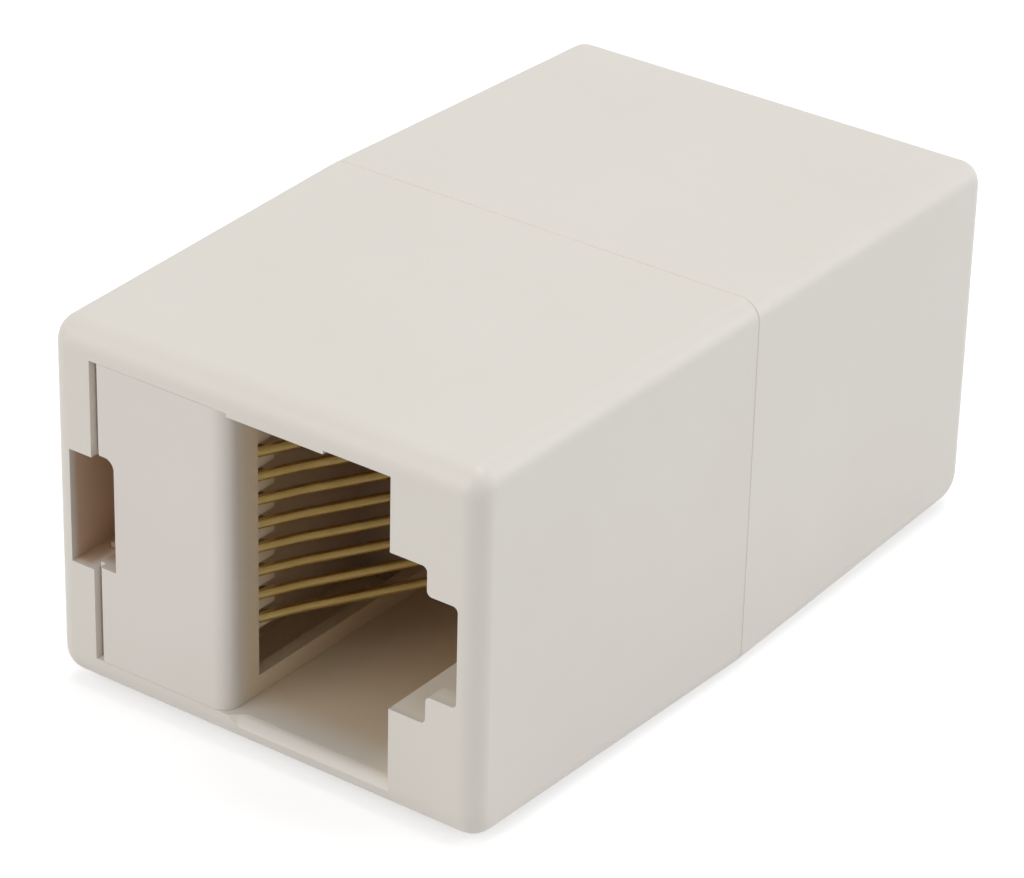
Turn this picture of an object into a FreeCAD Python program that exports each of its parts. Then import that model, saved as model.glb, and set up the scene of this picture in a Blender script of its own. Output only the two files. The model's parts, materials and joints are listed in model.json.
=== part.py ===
"""Inline coupler for two 8-way modular plugs.

Two identical moulded shells meet at mid-length. Each holds one contact insert, whose panel
closes half of the shell's face and leaves the plug's mouth beside it. The rear half is the
front half turned half a turn about the vertical, so every contact stays at its own height and
the short leads between the halves run straight through, pin for pin.

Frame: X across, Y along the coupler (front mouth at -Y), Z up. The origin is at the middle of
the underside. Each half is built about its own face: x across, y as depth behind the face and
z from the housing's axis, and is then placed. Millimetres.
"""
import FreeCAD
import Part
import math
import os

V = FreeCAD.Vector

# ---------------------------------------------------------------- housing
face_width = 20.0           # across the face
face_height = 15.4
draft_growth = 0.3          # how far each side has stood out by the time it reaches the seam
side_round = 0.88           # the four long edges and the upright edges of each face
upper_rim_round = 1.05      # the face's upper edge
lower_rim_round = 1.3       # the face's lower edge
seam_bevel = 0.035          # the fine groove where the shells meet

# ---------------------------------------------------------------- port
port_rise = 0.07            # port centre above the housing's axis
port_height = 12.84         # cavity, floor to roof
mouth_side = 6.05           # keyway side of the mouth, from the housing's centre plane
mouth_lip_round = 0.55      # lead-in on the mouth's lower edge
mouth_lip_taper = 0.7       # length over which that lead-in fades out beside the pillar
roof_pad_drop = 0.15        # shallow pad under the mouth's upper edge
roof_pad_end = 3.0          # where that pad stops
plug_depth = 12.6           # face to the stop behind the plug
latch_width = 6.55          # wide level of the keyway
latch_level = 7.72          # where the wide level gives way to the narrow slot
slot_width = 4.2            # narrow slot for the plug's latch
slot_end = 9.1              # outer end of the keyway
keyway_rise = 0.07          # keyway centre above the port's centre
face_lip = 0.9              # thickness of the face at the narrow slot
keyway_corner = 0.22        # rounding of the keyway's steps

# ---------------------------------------------------------------- shell inside
panel_edge = 8.03           # far edge of the panel's opening
side_wall_inner = 8.7       # inner face of the wall beside the insert
shoulder_depth = 1.65       # face to the shoulder that the insert seats on
core_wall = 1.2             # plastic left beside the cored pockets
core_start = 1.8            # face to the front of the cored pockets
tongue_width = 8.6
tongue_thickness = 1.1
tongue_root = 3.2           # length of the tongue's root on its own wall
snap_height = 0.3
snap_length = 1.0
snap_width = 4.0
snap_back = 1.6             # seam to the middle of the snap

# ---------------------------------------------------------------- insert
fit = 0.05                  # sliding clearance beside and behind the insert, and round the tongue
press_fit = 0.01            # clearance of the insert between the shell's floor and roof
panel_gap = 0.3             # open groove at the panel's far edge
groove_depth = 0.35
panel_round = 0.15          # the panel's edge along that groove
pillar_side = 1.53          # mouth side of the insert, from the housing's centre plane
pillar_depth = 1.87         # thickness of the pillar beside the mouth
pillar_round = 0.7
rail_height = 0.82          # rails along floor and roof
pocket_depth = 0.57         # pocket face behind the rails' faces
recess_floor = 4.3          # how far across the recess behind the contacts reaches
recess_end = 11.57
comb_end = 3.5              # face to the back of the front comb
back_plate = 1.2            # plate behind the plug
back_plate_side = 5.9
window_outer = 9.12         # latch window, outer side
window_inner = 6.93         # latch window, inner side
window_height = 4.84
window_rise = 0.22          # insert's half of the window above the shell's half
window_depth = 5.5
window_corner = 0.45
side_pocket_start = 6.5     # hollow on the insert's hidden side
side_pocket_floor = 6.3

# ---------------------------------------------------------------- contacts and leads
lead_room = 3.2             # from the insert's back to the seam
contact_count = 8
pitch = 1.016
wire_diameter = 0.4
slot_clearance = 0.09
channel_line = 5.7          # contact's straight run, from the housing's centre plane
fold_line = 1.55            # depth of the contact's fold in front
fold_radius = 0.9
root_offset = 2.04          # where the spring leaves the comb
root_depth = 2.6
root_angle = 25.6           # spring's angle to the coupler's length near its root
spring_angle = 30.3         # and along the rest of it
knee_depth = 4.1            # depth of the slight bend between the two
knee_radius = 9.0
tip_seat = 0.5              # reach of the spring's tip into the back plate
tail_length = 1.1           # tail standing out behind the insert
lead_diameter = 0.9
lead_bend = 1.9             # bend radius of the leads' middle line
lead_bore_clearance = 0.02
lead_lap = 0.8              # length of tail held in each end of a lead
contact_sides = 6           # flats round a contact
lead_sides = 6              # flats round a lead

# ---------------------------------------------------------------- derived
insert_back = plug_depth + back_plate
half_length = insert_back + lead_room
axis_height = face_height / 2 + draft_growth
port_floor = port_rise - port_height / 2
port_roof = port_rise + port_height / 2
keyway_centre = port_rise + keyway_rise
insert_floor = port_floor + press_fit
insert_roof = port_roof - press_fit
body_side = side_wall_inner - fit
pocket_face = pillar_side + pocket_depth
wire_radius = wire_diameter / 2
wire_slot = wire_diameter + 2 * slot_clearance
channel_outer = channel_line + wire_radius + slot_clearance
channel_inner = channel_line - wire_radius - slot_clearance
contact_heights = [port_rise + (i - (contact_count - 1) / 2) * pitch for i in range(contact_count)]


def block(x0, x1, y0, y1, z0, z1):
    """A box between two values on each axis."""
    return Part.makeBox(x1 - x0, y1 - y0, z1 - z0, V(x0, y0, z0))


def level(x0, x1, y0, y1, centre, height):
    """A box of a given height about a centre height."""
    return block(x0, x1, y0, y1, centre - height / 2, centre + height / 2)


def edges_where(shape, test):
    """The edges whose two ends both pass a test."""
    return [e for e in shape.Edges if len(e.Vertexes) == 2 and all(test(v.Point) for v in e.Vertexes)]


def edges_along(shape, axis, test):
    """The straight edges along one axis whose middle passes a test."""
    found = []
    for edge in shape.Edges:
        if len(edge.Vertexes) != 2:
            continue
        a, b = edge.Vertexes[0].Point, edge.Vertexes[1].Point
        run = b - a
        if abs(abs(run.dot(axis)) - run.Length) < 1e-6 and test((a + b) * 0.5):
            found.append(edge)
    return found


def corner(side, top, y):
    """A corner of the drafted form: side and top are -1 or 1."""
    grown = draft_growth * y / half_length
    return V(side * (face_width / 2 + grown), y, top * (face_height / 2 + grown))


def drafted_form():
    """The plain drafted block, as six flat faces."""
    near = [corner(-1, -1, 0), corner(1, -1, 0), corner(1, 1, 0), corner(-1, 1, 0)]
    far = [corner(-1, -1, half_length), corner(1, -1, half_length),
           corner(1, 1, half_length), corner(-1, 1, half_length)]
    outlines = [near, far]
    for i in range(4):
        j = (i + 1) % 4
        outlines.append([near[i], near[j], far[j], far[i]])
    faces = [Part.Face(Part.makePolygon(points + points[:1])) for points in outlines]
    return Part.makeSolid(Part.makeShell(faces))


# ================================================================ shell
def shell_outside():
    """The drafted outer form: its face's upper and lower edges rounded, then its sides' outlines."""
    form = drafted_form()
    form = form.makeFillet(upper_rim_round, edges_where(form, lambda p: abs(p.y) < 1e-6 and p.z > 0))
    form = form.makeFillet(lower_rim_round, edges_where(form, lambda p: abs(p.y) < 1e-6 and p.z < 0))
    for side in (-1, 1):
        def on_outline(p):
            return side * p.x > face_width / 2 - 1e-3
        outline = [e for e in edges_where(form, on_outline) if e.BoundBox.YMin < half_length - 1]
        form = form.makeFillet(side_round, outline)
    seam = edges_where(form, lambda p: abs(p.y - half_length) < 1e-6)
    return form.makeChamfer(seam_bevel, seam)


def keyway_cutter():
    """The stepped keyway: narrow at the face, wide behind it."""
    wide = level(mouth_side - 1, latch_level, -1, half_length + 1, keyway_centre, latch_width)
    narrow = level(mouth_side, slot_end, -1, half_length + 1, keyway_centre, slot_width)
    stepped = wide.fuse(narrow).removeSplitter()
    lengthwise = edges_along(stepped, V(0, 1, 0), lambda p: p.x > mouth_side)
    stepped = stepped.makeFillet(keyway_corner, lengthwise)
    behind = level(mouth_side, slot_end, face_lip, half_length + 1, keyway_centre, latch_width)
    return stepped.fuse(behind)


def lip_bevel_outline(x, r):
    """The outline at one place across of what a bevel of this size takes off the mouth's lower edge."""
    points = [V(x, 0, port_floor - r), V(x, r, port_floor), V(x, r, port_floor + r),
              V(x, -r, port_floor + r), V(x, -r, port_floor - r)]
    return Part.makePolygon(points + points[:1])


def lip_round_cutter():
    """What the rounding takes off the mouth's lower edge, fading out beside the pillar."""
    r = mouth_lip_round
    width = mouth_side + pillar_side
    edge = block(-pillar_side, mouth_side, -1, r, port_floor - r, port_floor + 1)
    roll = Part.makeCylinder(r, width, V(-pillar_side, r, port_floor - r), V(1, 0, 0))
    taper_end = -pillar_side + mouth_lip_taper
    taper = Part.makeLoft([lip_bevel_outline(-pillar_side, r / 20), lip_bevel_outline(taper_end, r)], True, True)
    rounding = edge.cut(roll)
    beside_pillar = block(-pillar_side, taper_end, -2, r + 1, port_floor - 2 * r, port_floor + 2)
    return rounding.cut(beside_pillar).fuse(rounding.common(taper))


def tongue():
    """The tongue that reaches into the other shell, with its snap and its root."""
    outer = side_wall_inner - 2 * fit
    reach = half_length - insert_back - 2 * fit
    tip = half_length + reach
    blade = level(outer - tongue_thickness, outer, half_length - tongue_root, tip, 0, tongue_width)
    lead_in = edges_where(blade, lambda p: abs(p.y - tip) < 1e-6)
    blade = blade.makeChamfer(tongue_thickness / 4, lead_in)
    root = level(outer - tongue_thickness, slot_end + fit, half_length - tongue_root, half_length - fit,
                 0, tongue_width)
    snap_middle = half_length + snap_back
    profile = [V(outer - fit, snap_middle - snap_length / 2, -snap_width / 2),
               V(outer + snap_height, snap_middle - snap_length / 4, -snap_width / 2),
               V(outer + snap_height, snap_middle, -snap_width / 2),
               V(outer - fit, snap_middle + snap_length / 2, -snap_width / 2)]
    face = Part.Face(Part.makePolygon(profile + profile[:1]))
    return blade.fuse([root, face.extrude(V(0, 0, snap_width))])


def snap_pocket():
    """The pocket that takes the other shell's snap."""
    middle = half_length - snap_back
    depth = side_wall_inner - 2 * fit + snap_height + fit
    half = snap_length / 2 + fit
    return level(-depth, -side_wall_inner + 1, middle - half, middle + half, 0, snap_width + 2 * fit)


def core_pocket(side):
    """A cored pocket above (side = 1) or below (side = -1) the keyway."""
    inner = keyway_centre + side * (latch_width / 2 + core_wall)
    outer = port_roof if side > 0 else port_floor
    return block(mouth_side + core_wall, slot_end, core_start, half_length + 1,
                 min(inner, outer), max(inner, outer))


def shell():
    """One moulded half of the housing."""
    body = shell_outside()
    port = block(-panel_edge, mouth_side, -1, half_length + 1, port_floor, port_roof)
    insert_bay = block(-side_wall_inner, 0, shoulder_depth, half_length + 1, port_floor, port_roof)
    lead_bay = block(0, slot_end, plug_depth - fit, half_length + 1, port_floor, port_roof)
    window = level(-window_outer, -panel_edge + 1, -1, window_depth, 0, window_height)
    cutters = [port, insert_bay, lead_bay, keyway_cutter(), lip_round_cutter(), window,
               snap_pocket(), core_pocket(1), core_pocket(-1)]
    body = body.cut(cutters)
    pad = block(-pillar_side + fit, roof_pad_end, 0, shoulder_depth, port_roof - roof_pad_drop, port_roof + 0.1)
    return body.fuse([pad, tongue()]).removeSplitter()


# ================================================================ insert
def contact_slots(height):
    """The comb slot and the channel of one contact, at its height."""
    comb = level(-channel_outer, -pocket_face + 1, fold_line - wire_radius - slot_clearance, comb_end,
                 height, wire_slot)
    wall = level(-pocket_face, -pocket_face + 2, 0, pillar_depth, height, wire_slot * 2)
    channel = level(-channel_outer, -channel_inner, fold_line, insert_back + 1, height, wire_slot)
    tip_slot = level(-pillar_side + fit, back_plate_side - 1, plug_depth - 1, insert_back + 1,
                     height, wire_slot)
    return [comb.cut(wall), channel, tip_slot]


def insert():
    """The moulded insert: panel and pillar, comb, rails and the plate behind the plug."""
    panel = block(-panel_edge + fit, -pillar_side, 0, shoulder_depth + fit, insert_floor, insert_roof)
    body = block(-body_side, -pillar_side, shoulder_depth + fit, insert_back, insert_floor, insert_roof)
    plate = block(-pillar_side - 1, back_plate_side, plug_depth, insert_back, insert_floor, insert_roof)
    form = panel.fuse([body, plate]).removeSplitter()
    pillar_edge = edges_where(form, lambda p: abs(p.y) < 1e-6 and abs(p.x + pillar_side) < 1e-6)
    form = form.makeFillet(pillar_round, pillar_edge)
    panel_side = -panel_edge + panel_gap
    form = form.cut(block(-panel_edge, panel_side, -1, groove_depth, insert_floor - 1, insert_roof + 1))
    groove_edge = edges_where(form, lambda p: abs(p.y) < 1e-6 and abs(p.x - panel_side) < 1e-6)
    form = form.makeFillet(panel_round, groove_edge)
    middle = (insert_floor + insert_roof) / 2
    inner_height = insert_roof - insert_floor - 2 * rail_height
    pocket = level(-pocket_face, 0, pillar_depth, plug_depth, middle, inner_height)
    recess = block(-recess_floor, -pocket_face, comb_end, recess_end, insert_floor - 1, insert_roof + 1)
    under_comb = block(-recess_floor, -pocket_face, pillar_depth, comb_end + 1,
                       insert_floor - 1, contact_heights[0] - pitch / 2)
    side_pocket = level(-body_side - 1, -side_pocket_floor, side_pocket_start, plug_depth,
                        middle, inner_height)
    window = level(-body_side - 1, -window_inner, -1, window_depth, window_rise, window_height)
    upper_corner = edges_along(window, V(0, 1, 0), lambda p: p.z > 0 and abs(p.x + window_inner) < 1e-6)
    window = window.makeFillet(window_corner, upper_corner)
    cutters = [pocket, recess, under_comb, side_pocket, window]
    for height in contact_heights:
        cutters += contact_slots(height)
    return form.cut(cutters).removeSplitter()


# ================================================================ contacts and leads
def bent_path(points, radii):
    """Straight runs through points in one plane, joined by tangent arcs."""
    edges = []
    start = points[0]
    for before, corner, after, radius in zip(points, points[1:], points[2:], radii):
        u = (before - corner).normalize()
        w = (after - corner).normalize()
        half = u.getAngle(w) / 2
        back = radius / math.tan(half)
        centre = corner + (u + w).normalize() * (radius / math.sin(half))
        first = corner + u * back
        last = corner + w * back
        middle = centre + (corner - centre).normalize() * radius
        edges.append(Part.makeLine(start, first))
        edges.append(Part.Arc(first, middle, last).toShape())
        start = last
    edges.append(Part.makeLine(start, points[-1]))
    return Part.Wire(edges)


def wire_section(centre, along, width, sides):
    """The outline of a wire across its own direction, as flats round a circle."""
    across = V(0, 0, 1).cross(along).normalize()
    reach = width / 2 / math.cos(math.pi / sides)
    points = []
    for i in range(sides):
        angle = math.pi / 2 + (i + 0.5) * 2 * math.pi / sides
        points.append(centre + across * (reach * math.cos(angle)) + V(0, 0, reach * math.sin(angle)))
    return Part.makePolygon(points + points[:1])


def wire_along(path, width, sides):
    """A wire of one section along a flat path."""
    first = path.OrderedEdges[0]
    start = path.OrderedVertexes[0].Point
    section = wire_section(start, first.tangentAt(first.FirstParameter), width, sides)
    return path.makePipeShell([section], True, False), Part.Face(section).Area * path.Length


def slope(degrees):
    """How far a line at this angle to the length moves across in each millimetre."""
    return math.tan(math.radians(degrees))


def contact(height):
    """One formed spring contact: tail, channel run, fold and spring."""
    fold_corner = -root_offset - (root_depth - fold_line) * slope(root_angle)
    knee = -root_offset + (knee_depth - root_depth) * slope(root_angle)
    tip_depth = plug_depth + tip_seat
    tip = knee + (tip_depth - knee_depth) * slope(spring_angle)
    points = [V(-channel_line, insert_back + tail_length, height),
              V(-channel_line, fold_line, height),
              V(fold_corner, fold_line, height),
              V(knee, knee_depth, height),
              V(tip, tip_depth, height)]
    path = bent_path(points, [fold_radius, fold_radius, knee_radius])
    return wire_along(path, wire_diameter, contact_sides)


def lead(height):
    """One insulated lead between two tails, with a bore in each end. In the coupler's frame."""
    end = half_length - insert_back - tail_length + lead_lap
    bend_start = end - lead_lap
    across = 2 * (channel_line - lead_bend)
    between = math.hypot(across, 2 * bend_start)
    turn = math.atan2(across, 2 * bend_start) + math.asin(2 * lead_bend / between)

    def on_bend(side, angle):
        centre = V(side * (channel_line - lead_bend), side * bend_start, height)
        return centre + V(side * math.cos(angle), -side * math.sin(angle), 0) * lead_bend

    edges = [Part.makeLine(V(-channel_line, -end, height), on_bend(-1, 0)),
             Part.Arc(on_bend(-1, 0), on_bend(-1, turn / 2), on_bend(-1, turn)).toShape(),
             Part.makeLine(on_bend(-1, turn), on_bend(1, turn)),
             Part.Arc(on_bend(1, turn), on_bend(1, turn / 2), on_bend(1, 0)).toShape(),
             Part.makeLine(on_bend(1, 0), V(channel_line, end, height))]
    insulation, expected = wire_along(Part.Wire(edges), lead_diameter, lead_sides)
    bores = []
    for side in (-1, 1):
        mouth = V(side * channel_line, side * end, height)
        inward = V(0, -side, 0)
        bore_width = wire_diameter + 2 * lead_bore_clearance
        bore = Part.Face(wire_section(mouth, inward, bore_width, contact_sides))
        bores.append(bore.extrude(inward * lead_lap))
    return insulation.cut(bores), expected - sum(bore.Volume for bore in bores)


# ================================================================ assembly
def place_front(shape):
    """A half's own frame to the coupler's frame."""
    placed = shape.copy()
    placed.translate(V(0, -half_length, axis_height))
    return placed


def place_rear(shape):
    """The same piece of the rear half: half a turn about the vertical."""
    placed = place_front(shape)
    placed.rotate(V(0, 0, 0), V(0, 0, 1), 180)
    return placed


def save(shape, name):
    """One solid to its own file."""
    solid = shape.Solids[0] if len(shape.Solids) == 1 else shape
    if len(shape.Solids) != 1 or not solid.isValid():
        raise ValueError(name + ": " + str(len(shape.Solids)) + " solids, valid " + str(shape.isValid()))
    solid.exportStep("parts/" + name + ".step")
    print(name, "volume", round(solid.Volume, 3), "faces", len(solid.Faces))


os.makedirs("parts", exist_ok=True)
shell_form = shell()
insert_form = insert()
save(place_front(shell_form), "front_shell")
save(place_rear(shell_form), "rear_shell")
save(place_front(insert_form), "front_insert")
save(place_rear(insert_form), "rear_insert")
for number, height in enumerate(contact_heights, 1):
    spring, spring_volume = contact(height)
    cord, cord_volume = lead(height)
    cord.translate(V(0, 0, axis_height))
    if number == 1:
        print("contact: section x length", round(spring_volume, 3), "bends", fold_radius, knee_radius)
        print("lead: section x length", round(cord_volume, 3), "bends", lead_bend)
    save(place_front(spring), "front_contact_" + str(number))
    save(place_rear(spring), "rear_contact_" + str(number))
    save(cord, "lead_" + str(number))
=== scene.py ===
# %% [markdown]
# # An inline coupler for two modular plugs
# This lesson dresses a small moulded coupler: two ivory shells that meet at mid-length, a moulded
# insert in each end, and eight gold spring contacts in each insert. The construction is already
# made as solids, at its real size, so no piece is moved or resized here. Each one gets its
# finish, and the scene gets its floor, its light and its camera.

# %% Load the solids
import bpy
import json
import math
from mathutils import Matrix, Vector

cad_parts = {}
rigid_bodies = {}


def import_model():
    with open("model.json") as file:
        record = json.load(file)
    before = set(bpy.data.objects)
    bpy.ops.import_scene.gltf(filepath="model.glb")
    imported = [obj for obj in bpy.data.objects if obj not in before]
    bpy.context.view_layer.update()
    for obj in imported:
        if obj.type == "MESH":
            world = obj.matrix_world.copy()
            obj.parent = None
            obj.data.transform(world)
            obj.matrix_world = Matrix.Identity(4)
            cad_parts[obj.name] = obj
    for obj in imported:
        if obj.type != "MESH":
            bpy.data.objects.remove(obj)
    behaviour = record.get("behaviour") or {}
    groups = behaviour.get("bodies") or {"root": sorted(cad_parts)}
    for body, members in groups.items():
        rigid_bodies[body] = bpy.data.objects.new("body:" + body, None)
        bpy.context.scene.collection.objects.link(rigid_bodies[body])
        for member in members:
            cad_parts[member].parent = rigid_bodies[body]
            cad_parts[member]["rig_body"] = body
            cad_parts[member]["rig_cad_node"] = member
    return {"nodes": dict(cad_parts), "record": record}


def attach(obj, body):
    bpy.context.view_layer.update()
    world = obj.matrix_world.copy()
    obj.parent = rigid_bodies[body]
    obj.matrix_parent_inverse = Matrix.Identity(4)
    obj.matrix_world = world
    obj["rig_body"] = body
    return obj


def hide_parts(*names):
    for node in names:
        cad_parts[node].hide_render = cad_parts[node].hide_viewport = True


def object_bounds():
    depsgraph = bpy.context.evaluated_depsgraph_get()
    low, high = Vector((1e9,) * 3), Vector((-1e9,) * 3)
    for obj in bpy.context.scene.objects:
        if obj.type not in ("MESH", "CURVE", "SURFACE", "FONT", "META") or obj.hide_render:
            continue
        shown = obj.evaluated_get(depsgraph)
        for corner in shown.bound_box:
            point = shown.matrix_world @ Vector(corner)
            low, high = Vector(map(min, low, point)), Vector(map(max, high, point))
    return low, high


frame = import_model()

cad_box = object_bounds()
nodes = frame["nodes"]
mm = 0.001
half_length = cad_box[1][1]
axis_height = (cad_box[0][2] + cad_box[1][2]) / 2
print("pieces:", len(nodes), "size in mm:", [round((b - a) / mm, 2) for a, b in zip(*cad_box)])

# %% [markdown]
# ## Small helpers for materials
# A material in Blender is a small graph of nodes. Each helper below adds one node, sets its values
# and returns it, so that the graphs further down read like a list of what the finish is made of.
# Every pattern starts from Object coordinates. They are in metres here, so a pattern whose
# grains are 0.1 mm wide has a scale of about 10 000.

# %% Material helpers
noise_span = (0.3, 0.7)


def new_material(name):
    """An empty node material with its Principled shader."""
    material = bpy.data.materials.new(name)
    material.use_nodes = True
    shader = material.node_tree.nodes["Principled BSDF"]
    return material, shader


def add_node(material, kind, values=None, links=None):
    """A node of one kind, with its values, and with links into its inputs."""
    node = material.node_tree.nodes.new(kind)
    for name, value in (values or {}).items():
        node.inputs[name].default_value = value
    for name, socket in (links or {}).items():
        material.node_tree.links.new(socket, node.inputs[name])
    return node


def noise(material, grain, detail=3.0, roughness=0.5):
    """Noise whose grains are about this many metres wide."""
    place = add_node(material, "ShaderNodeTexCoord")
    return add_node(material, "ShaderNodeTexNoise",
                    {"Scale": 1 / grain, "Detail": detail, "Roughness": roughness},
                    {"Vector": place.outputs["Object"]})


def spread(material, socket, low, high):
    """A noise value spread over a range."""
    return add_node(material, "ShaderNodeMapRange",
                    {"From Min": noise_span[0], "From Max": noise_span[1],
                     "To Min": low, "To Max": high},
                    {"Value": socket}).outputs["Result"]


def blend_colours(material, factor, first, second):
    """A colour between two, each a constant or a socket."""
    mix = material.node_tree.nodes.new("ShaderNodeMix")
    mix.data_type = "RGBA"
    for socket, colour in ((mix.inputs[6], first), (mix.inputs[7], second)):
        if isinstance(colour, tuple):
            socket.default_value = (*colour, 1)
        else:
            material.node_tree.links.new(colour, socket)
    material.node_tree.links.new(factor, mix.inputs[0])
    return mix.outputs[2]


def connect(material, socket, shader, name):
    """A link into one of the shader's inputs."""
    material.node_tree.links.new(socket, shader.inputs[name])


def calculate(material, operation, first, second=None):
    """One step of arithmetic on sockets or numbers."""
    node = material.node_tree.nodes.new("ShaderNodeMath")
    node.operation = operation
    for i, value in enumerate((first, second)):
        if isinstance(value, (int, float)):
            node.inputs[i].default_value = value
        elif value is not None:
            material.node_tree.links.new(value, node.inputs[i])
    return node.outputs[0]


def rise_between(material, value, low, high):
    """A soft step: 0 where the value is at low, 1 where it is at high."""
    step = add_node(material, "ShaderNodeMapRange",
                    {"From Min": low, "From Max": high}, {"Value": value})
    step.interpolation_type = "SMOOTHSTEP"
    return step.outputs["Result"]


print("helpers ready")

# %% [markdown]
# ## Where a point lies in the coupler
# The sockets are narrow and deep. Light inside them has bounced from ivory to ivory many times,
# and each bounce takes some of its blue, so the walls look tan and brown as they go in. The
# renderer follows some of that by itself, and the rest is painted shade: the material's colour
# turns tan and brown with depth. That is a choice for this light, because the plastic itself is one
# colour.
# On the shell the keyway's thin walls get painted light instead.
# The material has to know how far a point lies behind the face, and whether it lies on the
# outside skin or within it. Both come from Object coordinates.

# %% Depth and insideness
face_half_width = 10.0 * mm
face_half_height = 7.7 * mm
skin_thickness = (0.4 * mm, 0.8 * mm)
face_skin = (0.05 * mm, 0.4 * mm)
# for each zone, where its painted shade (or on the keyway its painted light) starts and where it is
# full
shell_painted_shading = {"mouth": (0.5 * mm, 2.6 * mm), "deep": (1.8 * mm, 10.5 * mm),
                "window": ((-8.2 * mm, -8.6 * mm), (0.05 * mm, 0.5 * mm)),
                "keyway": ((4.1 * mm, 5.9 * mm), (17.5 * mm, 7.0 * mm))}
insert_painted_shading = {"mouth": (0.55 * mm, 1.4 * mm), "deep": (1.5 * mm, 9.5 * mm),
                 "window": ((-6.5 * mm, -6.9 * mm), (0.36 * mm, 0.9 * mm)),
                 "recess": ((-2.13 * mm, -2.45 * mm), (1.9 * mm, 2.6 * mm)),
                 "recess end": ((-2.13 * mm, -2.45 * mm), (4.0 * mm, 12.0 * mm))}


def split_place(material):
    """The point's three coordinates."""
    place = add_node(material, "ShaderNodeTexCoord")
    return add_node(material, "ShaderNodeSeparateXYZ",
                    None, {"Vector": place.outputs["Object"]}).outputs


def depth_behind_face(material, point):
    """How far the point lies behind the nearer face."""
    return calculate(material, "SUBTRACT", half_length, calculate(material, "ABSOLUTE", point["Y"]))


def within_skin(material, point):
    """0 on the housing's outside skin, 1 on its inner walls."""
    off_centre = calculate(material, "ABSOLUTE", point["X"])
    above_axis = calculate(material, "SUBTRACT", point["Z"], axis_height)
    off_axis = calculate(material, "ABSOLUTE", above_axis)
    from_side = calculate(material, "SUBTRACT", face_half_width, off_centre)
    from_top = calculate(material, "SUBTRACT", face_half_height, off_axis)
    nearest = calculate(material, "MINIMUM", from_side, from_top)
    return rise_between(material, nearest, *skin_thickness)


def across_half(material, point):
    """How far across its own half the point lies: both halves have their keyway at +6 to +9 mm."""
    facing = calculate(material, "SIGN", calculate(material, "MULTIPLY", point["Y"], -1.0))
    return calculate(material, "MULTIPLY", point["X"], facing)


def zone(material, across, depth, limits):
    """1 in a zone that starts soft at a place across and at a depth."""
    side, shade = limits
    beside = rise_between(material, across, *side)
    return calculate(material, "MULTIPLY", beside, rise_between(material, depth, *shade))


print("half length", round(half_length / mm, 2), "axis height", round(axis_height / mm, 2))

# %% [markdown]
# ## Ivory plastic
# The housing is moulded ABS in warm ivory. Such plastic isn't one flat colour: its pigment drifts
# a little over a centimetre, and the mould leaves a very fine satin grain.

# %% Ivory plastic
# Painted shade: the tan and brown colours below stand for the shade in the sockets, the window and
# the recess
mouth_painted_shade = (0.73, 0.61, 0.455)
deep_painted_shade = (0.53, 0.39, 0.25)
window_painted_shade = (0.62, 0.44, 0.305)
recess_painted_shade = (0.62, 0.46, 0.31)
recess_end_painted_shade = (0.40, 0.275, 0.18)
# Painted light: a paler ivory for the keyway's walls
painted_keyway_light = (0.86, 0.79, 0.68)
pigment_grain = 9 * mm
sheen_grain = 1.2 * mm
sheen_spread = (-0.04, 0.05)
mould_grain = 0.11 * mm
mould_bump = 0.35
abs_ior = 1.5


def colour_with_painted_shade(material, ivory, painted_shading, is_shell):
    """The pigment with painted shade, tan to brown with depth in the sockets, window and recess,
    and painted light in the keyway.
    """
    point = split_place(material)
    depth = depth_behind_face(material, point)
    across = across_half(material, point)
    inside = within_skin(material, point) if is_shell else 1.0
    colour = ivory
    # painted shade: tan near the mouth, brown deeper in, and brown in the window
    for shade, shade_tone in ((rise_between(material, depth, *painted_shading["mouth"]), mouth_painted_shade),
                        (rise_between(material, depth, *painted_shading["deep"]), deep_painted_shade),
                        (zone(material, across, depth, painted_shading["window"]), window_painted_shade)):
        share = calculate(material, "MULTIPLY", shade, inside)
        colour = blend_colours(material, share, colour, shade_tone)
    if is_shell:
        # painted light: the keyway's walls are thin, and are coloured paler here as if lit through
        # from outside
        past_face = rise_between(material, depth, *face_skin)
        behind_face = calculate(material, "MULTIPLY", past_face, inside)
        in_keyway = zone(material, across, depth, painted_shading["keyway"])
        share = calculate(material, "MULTIPLY", in_keyway, behind_face)
        return blend_colours(material, share, colour, painted_keyway_light)
    # painted shade in the insert's recess, darker towards the recess's end
    for place, shade_tone in (("recess", recess_painted_shade), ("recess end", recess_end_painted_shade)):
        colour = blend_colours(material, zone(material, across, depth, painted_shading[place]), colour, shade_tone)
    return colour


def ivory_plastic(name, pale, deep, satin, grain_height, painted_shading, is_shell):
    """Moulded ABS: drifting pigment, painted shade inside and painted light in the shell's keyway,
    satin grain.
    """
    material, shader = new_material(name)
    drift = spread(material, noise(material, pigment_grain, 2).outputs["Fac"], 0, 1)
    ivory = blend_colours(material, drift, pale, deep)
    colour = colour_with_painted_shade(material, ivory, painted_shading, is_shell)
    connect(material, colour, shader, "Base Color")
    sheen = spread(material, noise(material, sheen_grain, 4).outputs["Fac"],
                   satin + sheen_spread[0], satin + sheen_spread[1])
    connect(material, sheen, shader, "Roughness")
    fine = noise(material, mould_grain, 3, 0.6)
    bump = add_node(material, "ShaderNodeBump",
                    {"Strength": mould_bump, "Distance": grain_height},
                    {"Height": fine.outputs["Fac"]})
    connect(material, bump.outputs["Normal"], shader, "Normal")
    shader.inputs["IOR"].default_value = abs_ior
    return material


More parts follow.
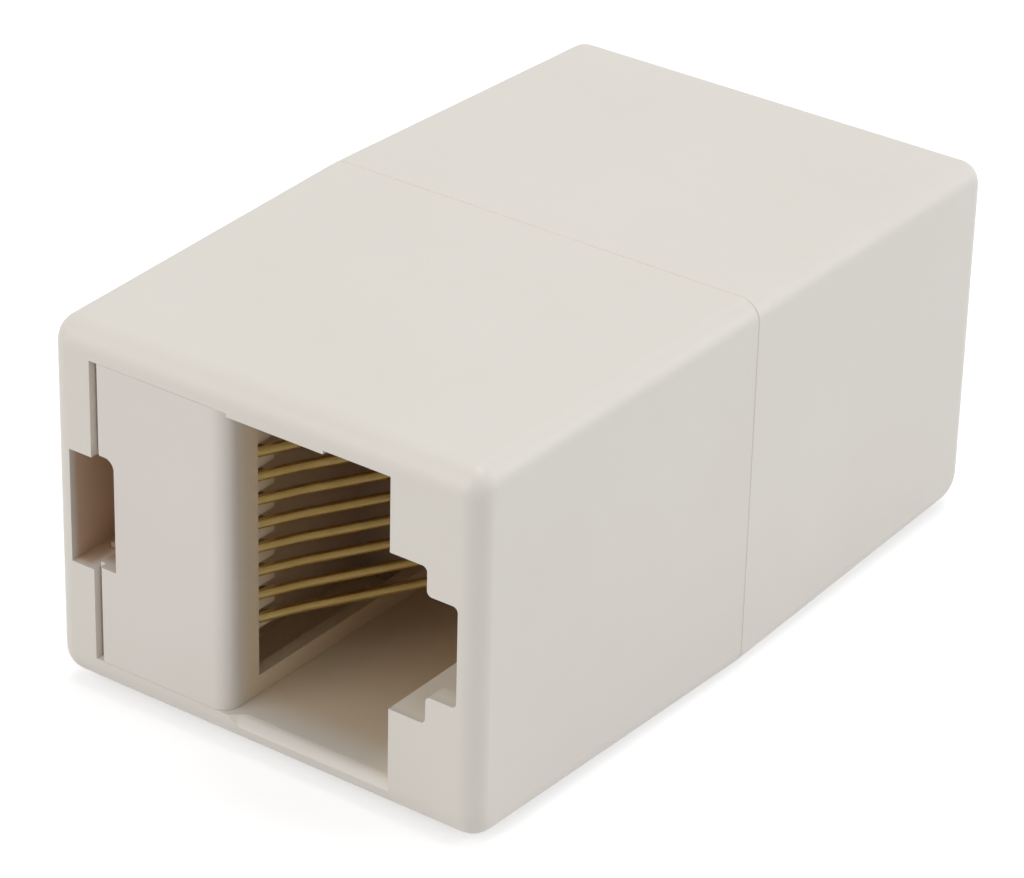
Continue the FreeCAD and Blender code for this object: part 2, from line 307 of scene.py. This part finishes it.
shell_ivory = ivory_plastic("shell_ivory", (0.770, 0.722, 0.645), (0.752, 0.702, 0.625),
                            0.42, 0.004 * mm, shell_painted_shading, True)
insert_ivory = ivory_plastic("insert_ivory", (0.778, 0.715, 0.650), (0.757, 0.690, 0.625),
                             0.36, 0.003 * mm, insert_painted_shading, False)
print("plastics:", shell_ivory.name, insert_ivory.name)

# %% [markdown]
# ## Gold-plated contacts
# A contact is round copper-alloy wire with a thin bright plating of gold. Metal has no colour
# of its own apart from what it reflects, so the base colour tints the reflection. Fine marks
# from drawing the wire spread the highlight a little.

# %% Gold plating
bright_gold = (0.77, 0.63, 0.31)
deep_gold = (0.68, 0.54, 0.24)
gold_sheen = (0.09, 0.15)
drawn_mark = 0.08 * mm
drawn_mark_height = 0.0006 * mm
drawn_mark_bump = 0.15


def gold_plating():
    """Bright gold over drawn wire."""
    material, shader = new_material("contact_gold")
    shader.inputs["Metallic"].default_value = 1.0
    drift = spread(material, noise(material, 1.5 * mm, 3).outputs["Fac"], 0, 1)
    colour = blend_colours(material, drift, bright_gold, deep_gold)
    connect(material, colour, shader, "Base Color")
    sheen = spread(material, noise(material, 0.25 * mm, 4).outputs["Fac"], *gold_sheen)
    connect(material, sheen, shader, "Roughness")
    marks = noise(material, drawn_mark, 2)
    bump = add_node(material, "ShaderNodeBump",
                    {"Strength": drawn_mark_bump, "Distance": drawn_mark_height},
                    {"Height": marks.outputs["Fac"]})
    connect(material, bump.outputs["Normal"], shader, "Normal")
    return material


contact_gold = gold_plating()
print("metal:", contact_gold.name)

# %% [markdown]
# ## Lead insulation
# Eight short leads join the two rows of contacts. Their insulation is soft PVC in the usual set
# of colours, read here from the part's own record so that each lead keeps its colour.

# %% Insulation
insulation_drift = 0.86
insulation_sheen = (0.34, 0.44)


def insulation(name, colour):
    """Soft, slightly glossy PVC."""
    material, shader = new_material(name)
    darker = tuple(insulation_drift * c for c in colour)
    drift = spread(material, noise(material, 2.5 * mm, 2).outputs["Fac"], 0, 1)
    connect(material, blend_colours(material, drift, colour, darker), shader, "Base Color")
    sheen = spread(material, noise(material, 0.6 * mm, 3).outputs["Fac"], *insulation_sheen)
    connect(material, sheen, shader, "Roughness")
    return material


slot_colours = {m["slot"]: tuple(m["base_color"][:3]) for m in frame["record"]["materials"]}
slot_of = {s["node"]: s["material_slot"] for s in frame["record"]["subparts"]}
lead_slots = sorted(slot for slot in slot_colours if slot.startswith("lead_"))
finishes = {"shell": shell_ivory, "insert": insert_ivory, "contacts": contact_gold}
for slot in lead_slots:
    finishes[slot] = insulation(slot + "_pvc", slot_colours[slot])
print("finishes:", sorted(finishes))

# %% [markdown]
# ## Smooth skins over the solids
# The solids arrive as loose triangles, so a rounded edge would show its facets. A copy of each
# is merged at its shared points and shaded smooth wherever two faces meet at a shallow angle.
# A Weighted Normal modifier then lets the large flat faces keep their own direction, and leaves
# the turning to the small faces of the rounded edges. The wires are built with six flats, so
# their skins get their long edges bevelled twice over, which makes them round. Each copy
# keeps within the form of its solid, and stands for it in the picture.

# %% Skins
merge_distance = 0.0005 * mm
wire_bevel_steps = 2
wire_edge_angle = 40
contact_finish = (45, 0.07 * mm)
lead_finish = (45, 0.16 * mm)
moulding_finish = (32, None)


def skin_over(name, sharpest, edge_round):
    """A merged, smooth-shaded copy of one solid, which then stands for it."""
    bpy.ops.object.select_all(action="DESELECT")
    nodes[name].select_set(True)
    bpy.context.view_layer.objects.active = nodes[name]
    bpy.ops.object.duplicate()
    skin = bpy.context.view_layer.objects.active
    skin.name = name + "_skin"
    skin.data.name = name + "_skin"
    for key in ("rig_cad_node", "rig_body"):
        if key in skin:
            del skin[key]
    bpy.ops.object.mode_set(mode="EDIT")
    bpy.ops.mesh.select_all(action="SELECT")
    bpy.ops.mesh.remove_doubles(threshold=merge_distance)
    bpy.ops.mesh.customdata_custom_splitnormals_clear()
    bpy.ops.object.mode_set(mode="OBJECT")
    if edge_round:
        bpy.ops.object.modifier_add(type="BEVEL")
        rounding = skin.modifiers[-1]
        rounding.width = edge_round
        rounding.segments = wire_bevel_steps
        rounding.limit_method = "ANGLE"
        rounding.angle_limit = math.radians(wire_edge_angle)
        bpy.ops.object.modifier_apply(modifier=rounding.name)
    bpy.ops.object.shade_smooth_by_angle(angle=math.radians(sharpest))
    bpy.ops.object.modifier_add(type="WEIGHTED_NORMAL")
    evening = skin.modifiers[-1]
    evening.keep_sharp = True
    bpy.ops.object.modifier_apply(modifier=evening.name)
    skin.data.materials.clear()
    skin.data.materials.append(finishes[slot_of[name]])
    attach(skin, "root")
    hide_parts(name)
    return skin


def skin_settings(name):
    """Sharpest smoothed angle in degrees, and the bevel of a wire's long edges."""
    if "contact" in name:
        return contact_finish
    if "lead" in name:
        return lead_finish
    return moulding_finish


skins = {name: skin_over(name, *skin_settings(name)) for name in sorted(nodes)}
print("skins:", len(skins), "faces:", sum(len(skin.data.polygons) for skin in skins.values()))

# %% [markdown]
# ## Floor
# The coupler rests on a plain white round table. The table catches its soft shadow. Rays from the
# camera, and those that the gold reflects, see it lifted to white. Rays that carry light
# between matt surfaces don't, so the lift adds no light to the coupler.

# %% Floor
floor_reach = 0.45
floor_sides = 96
floor_colour = (0.74, 0.74, 0.735, 1)
floor_lift = 0.50


def seen_directly(tree):
    """1 for camera, glossy and transmission rays, 0 for rays that light matt surfaces."""
    path = tree.nodes.new("ShaderNodeLightPath")
    first = tree.nodes.new("ShaderNodeMath")
    second = tree.nodes.new("ShaderNodeMath")
    first.operation = second.operation = "MAXIMUM"
    tree.links.new(path.outputs["Is Camera Ray"], first.inputs[0])
    tree.links.new(path.outputs["Is Glossy Ray"], first.inputs[1])
    tree.links.new(first.outputs[0], second.inputs[0])
    tree.links.new(path.outputs["Is Transmission Ray"], second.inputs[1])
    return second.outputs[0]


def white_floor():
    """A matt white floor that is seen a little brighter."""
    material, shader = new_material("floor_white")
    shader.inputs["Base Color"].default_value = floor_colour
    shader.inputs["Roughness"].default_value = 0.9
    lift = calculate(material, "MULTIPLY", seen_directly(material.node_tree), floor_lift)
    shader.inputs["Emission Color"].default_value = (1, 1, 1, 1)
    connect(material, lift, shader, "Emission Strength")
    return material


bpy.ops.object.select_all(action="DESELECT")
bpy.ops.mesh.primitive_circle_add(vertices=floor_sides, radius=floor_reach, fill_type="NGON",
                                  location=(0, 0, 0))
floor = bpy.context.object
floor.name = "floor"
floor.data.materials.append(white_floor())
print("floor:", 2 * floor_reach, "m across")

# %% [markdown]
# ## Light
# Pale plastic looks best in soft light from all round, as in a light tent. Three large weak
# lamps shape it: one above, one to the left of the face and one behind the right side. No lamp
# stands near the camera, so the upright edge between the two lit faces is a little darker
# than both, and the sockets fall away into shade.

# %% Tent
tent_strength = 0.40
world = bpy.data.worlds.new("light_tent")
bpy.context.scene.world = world
world.use_nodes = True
tree = world.node_tree
background = tree.nodes["Background"]
background.inputs["Color"].default_value = (0.96, 0.99, 1.04, 1)
background.inputs["Strength"].default_value = tent_strength
white = tree.nodes.new("ShaderNodeBackground")
white.inputs["Color"].default_value = (1, 1, 1, 1)
chooser = tree.nodes.new("ShaderNodeMixShader")
tree.links.new(seen_directly(tree), chooser.inputs[0])
tree.links.new(background.outputs[0], chooser.inputs[1])
tree.links.new(white.outputs[0], chooser.inputs[2])
tree.links.new(chooser.outputs[0], tree.nodes["World Output"].inputs["Surface"])
print("tent strength:", tent_strength)

# %% Lamps
lamp_size = 0.45
lamp_distance = 0.6


def direction(azimuth, height):
    """A direction: degrees round from the front mouth's side towards +X, and degrees up."""
    a, h = math.radians(azimuth), math.radians(height)
    return Vector((math.sin(a) * math.cos(h), -math.cos(a) * math.cos(h), math.sin(h)))


def soft_lamp(name, azimuth, height, power, colour):
    """A large square lamp on a sphere round the coupler, facing it."""
    lamp = bpy.data.lights.new(name, "AREA")
    lamp.size = lamp_size
    lamp.energy = power
    lamp.color = colour
    lantern = bpy.data.objects.new(name, lamp)
    bpy.context.scene.collection.objects.link(lantern)
    place = direction(azimuth, height) * lamp_distance
    lantern.location = place
    lantern.rotation_euler = (-place).to_track_quat("-Z", "Y").to_euler()
    return lantern


lamps = [soft_lamp("top_light", 180, 82, 1.20, (1.0, 1.0, 0.99)),
         soft_lamp("left_light", -22, 27, 1.22, (1.0, 0.975, 0.975)),
         soft_lamp("right_light", 128, 25, 1.30, (0.965, 0.975, 1.04))]
print("lamps:", [lamp.name for lamp in lamps])

# %% [markdown]
# ## Camera
# The camera stands to the right of the near face and looks down on it, through a long lens from
# fairly close, which keeps the coupler's long edges almost parallel. It is rolled by a degree and
# a half, as a hand-held camera would be.

# %% Camera
turn = math.radians(35.70)
rise = math.radians(28.56)
roll = math.radians(1.449)
camera_place = Vector((87.955, -123.726, 89.318)) * mm
lens_width = 36.0
lens_length = 153.75

back = Vector((math.sin(turn) * math.cos(rise), -math.cos(turn) * math.cos(rise), math.sin(rise)))
level_right = (-back).cross(Vector((0, 0, 1))).normalized()
level_up = level_right.cross(-back)
right = math.cos(roll) * level_right + math.sin(roll) * level_up
up = -math.sin(roll) * level_right + math.cos(roll) * level_up
camera = bpy.data.objects.new("camera", bpy.data.cameras.new("camera"))
bpy.context.scene.collection.objects.link(camera)
camera.data.lens = lens_length
camera.data.sensor_width = lens_width
camera.data.clip_start = 10 * mm
facing = Matrix((right, up, back)).transposed().to_4x4()
camera.matrix_world = Matrix.Translation(camera_place) @ facing
bpy.context.scene.camera = camera
bpy.context.scene.view_settings.view_transform = "Standard"
print("camera at", [round(v, 4) for v in camera_place], "lens", lens_length, "mm")
